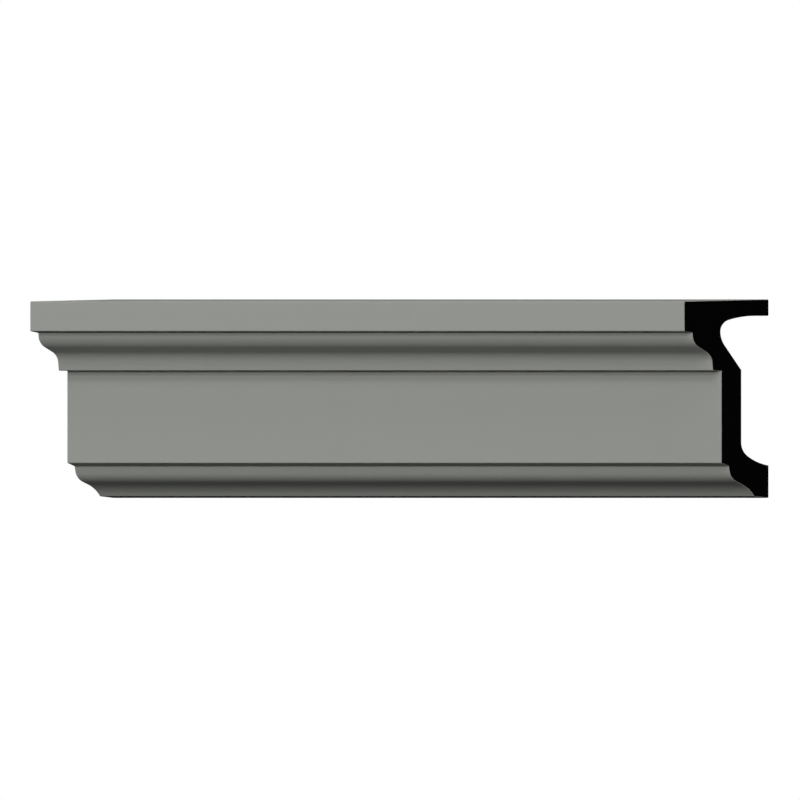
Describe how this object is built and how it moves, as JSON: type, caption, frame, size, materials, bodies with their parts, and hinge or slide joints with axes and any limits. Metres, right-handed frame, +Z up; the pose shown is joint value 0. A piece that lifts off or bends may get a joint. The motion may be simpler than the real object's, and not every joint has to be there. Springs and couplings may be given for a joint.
{
  "type": "panel moulding",
  "caption": "Length of hollow-backed panel moulding: a top band, an ogee, a flat frieze and a smaller ogee below, cut by parallel mitres at its ends.",
  "frame": {"origin": "middle of the lower strip that bears on the wall, on the wall plane", "axes": "+X along the moulding, to the right when facing it; +Y into the wall; +Z up"},
  "size_m": [0.472, 0.054, 0.1269],
  "materials": {
    "primed_urethane": "matt factory primer on rigid cast urethane foam, with dark saw-cut ends"
  },
  "bodies": {
    "root": {"panel_moulding": "primed_urethane"}
  },
  "joints": []
}
